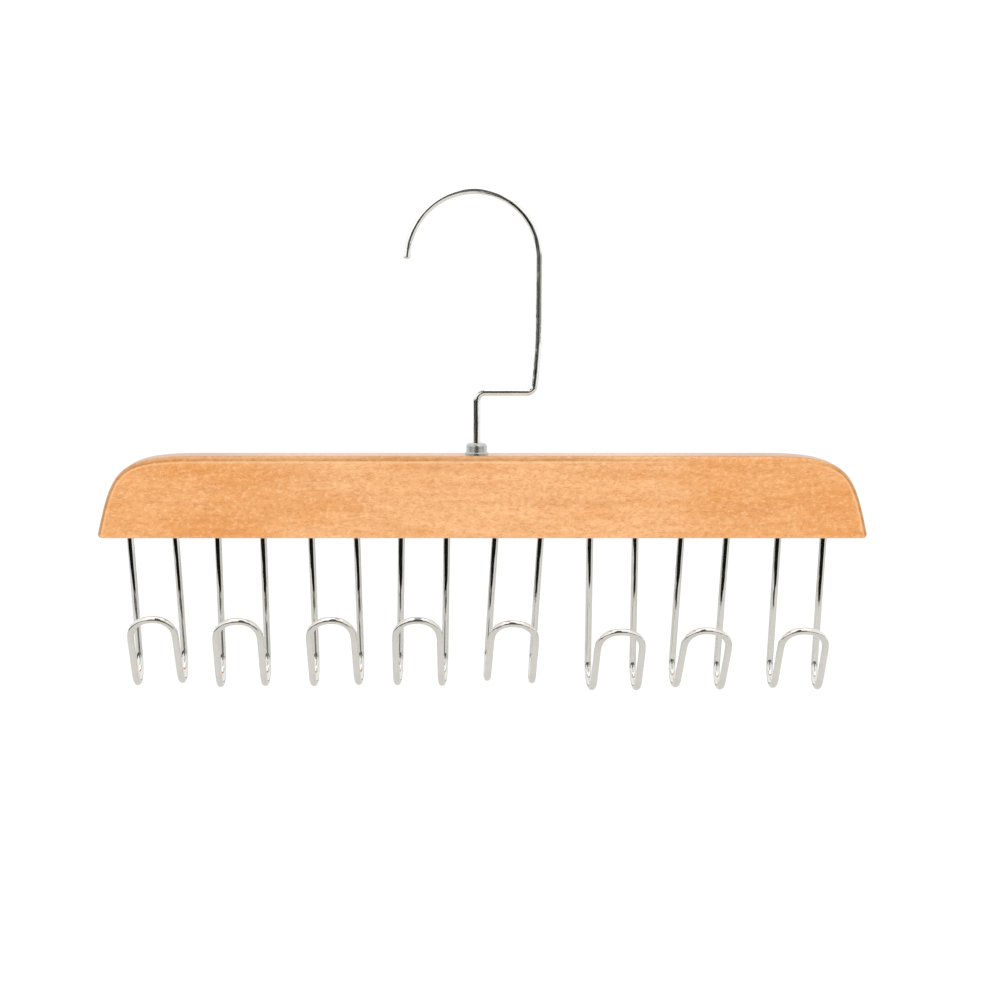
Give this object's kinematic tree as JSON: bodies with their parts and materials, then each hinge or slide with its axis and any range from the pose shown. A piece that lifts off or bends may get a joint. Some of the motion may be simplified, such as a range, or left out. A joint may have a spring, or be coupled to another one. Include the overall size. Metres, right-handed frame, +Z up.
{
  "type": "belt hanger",
  "caption": "Belt hanger: varnished wooden bar with a row of chromed wire belt hooks below, hung from a swivelling wire hook with a ferrule.",
  "frame": {"origin": "rail seat: the top of the inside of the swivel hook's crown, where the wardrobe rail bears", "axes": "+X along the bar, away from the swivel hook's tip; +Y to the back, so the belt hooks open towards -Y; +Z up"},
  "size_m": [0.2818, 0.033, 0.1832],
  "materials": {
    "varnished_wood": "clear satin varnish",
    "belt_hook_chrome": "bright chrome plate",
    "swivel_hook_chrome": "bright chrome plate",
    "ferrule_chrome": "bright chrome plate",
    "washer_zinc": "zinc plate"
  },
  "bodies": {
    "hook": {"swivel_hook": "swivel_hook_chrome"},
    "hanger": {"bar": "varnished_wood", "ferrule": "ferrule_chrome", "washer": "washer_zinc", "belt_hook_1": "belt_hook_chrome", "belt_hook_2": "belt_hook_chrome", "belt_hook_3": "belt_hook_chrome", "belt_hook_4": "belt_hook_chrome", "belt_hook_5": "belt_hook_chrome", "belt_hook_6": "belt_hook_chrome", "belt_hook_7": "belt_hook_chrome", "belt_hook_8": "belt_hook_chrome"}
  },
  "joints": [
    {"name": "swivel", "type": "hinge", "parent": "hook", "child": "hanger", "pos_m": [0.001, 0, -0.09395], "axis": [0, 0, 1], "continuous": true}
  ]
}
